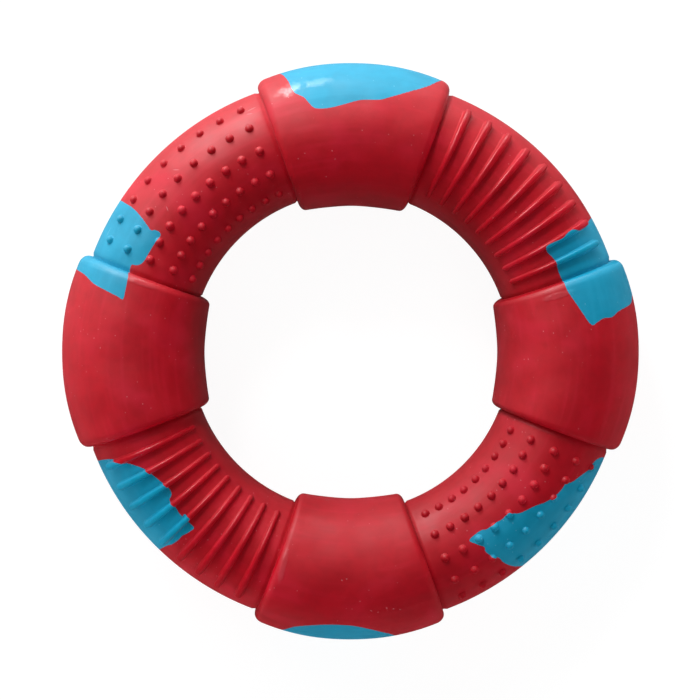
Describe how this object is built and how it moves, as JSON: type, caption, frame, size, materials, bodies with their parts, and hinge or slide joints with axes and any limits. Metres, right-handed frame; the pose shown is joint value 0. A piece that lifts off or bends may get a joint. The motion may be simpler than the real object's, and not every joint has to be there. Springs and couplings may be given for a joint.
{
  "type": "pet toy ring",
  "caption": "Hollow rubber chew ring for dogs that lies flat, with smooth raised collars, stretches of nubs and radial ribs between them, and irregular inlays in a second colour.",
  "frame": {"origin": "centre of the hole, level with the surface that the ring rests on", "axes": "+Z along the ring's axis, from the back face up to the face in the picture; +X to the picture's right and +Y to its top, through the middles of two collars"},
  "size_m": [0.15, 0.15, 0.0368],
  "materials": {
    "red_rubber": "satin, as moulded",
    "blue_rubber": "satin, as moulded"
  },
  "bodies": {
    "root": {"blue_inlay_top": "blue_rubber", "blue_inlay_upper_left": "blue_rubber", "blue_inlay_upper_right": "blue_rubber", "blue_inlay_lower_left": "blue_rubber", "blue_inlay_bottom": "blue_rubber", "blue_inlay_lower_right": "blue_rubber", "front_half_shell": "red_rubber", "back_half_shell": "red_rubber"}
  },
  "joints": []
}
